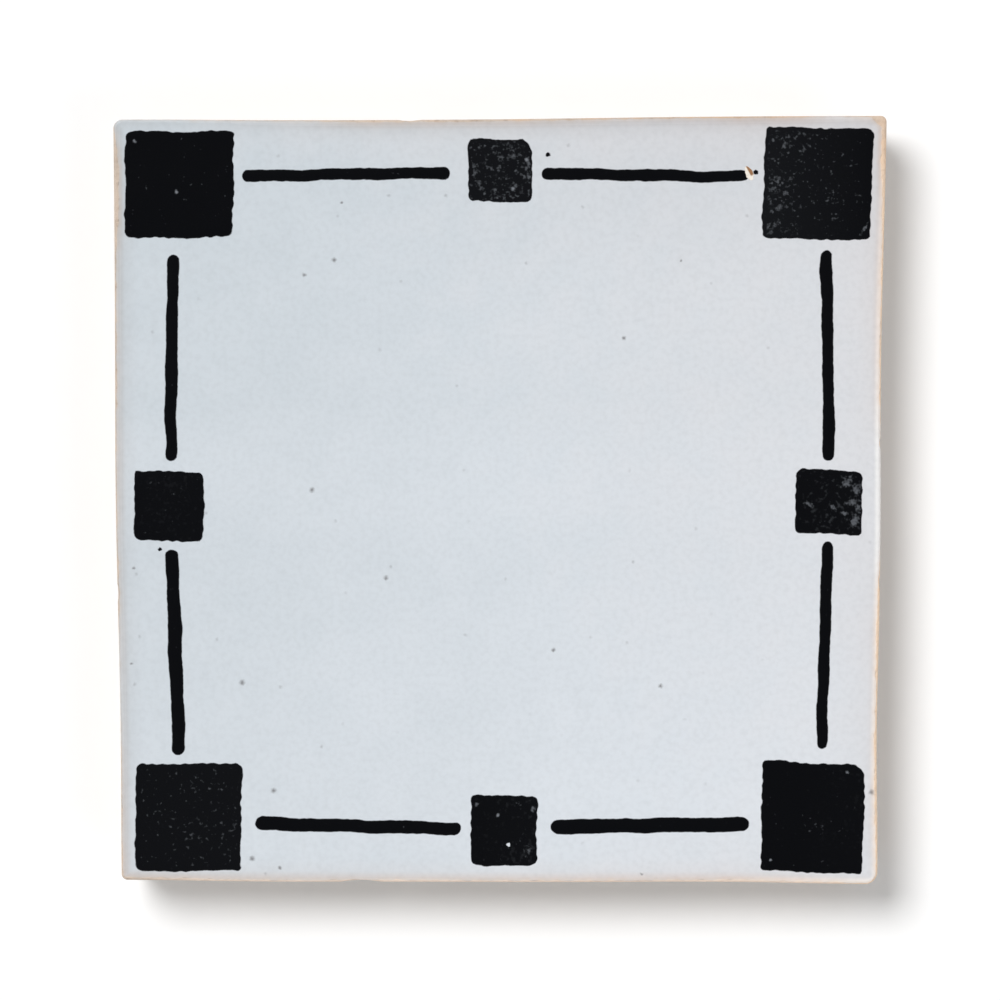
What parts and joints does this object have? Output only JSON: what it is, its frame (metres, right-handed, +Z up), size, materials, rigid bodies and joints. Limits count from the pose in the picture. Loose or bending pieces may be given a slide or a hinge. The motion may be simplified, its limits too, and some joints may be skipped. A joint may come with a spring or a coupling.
{
  "type": "zellige tile",
  "caption": "Square hand-cut clay tile with a glossy white glazed face and a black painted border of squares and dashes, for covering walls, floors and table tops.",
  "frame": {"origin": "middle of the tile's outline, at the plane of its back", "axes": "+X along the tile's length, +Y along its width, +Z up, out of the glazed face"},
  "size_m": [0.1012, 0.1006, 0.012],
  "materials": {
    "glazed_clay": "gloss"
  },
  "bodies": {
    "root": {"tile": "glazed_clay"}
  },
  "joints": []
}
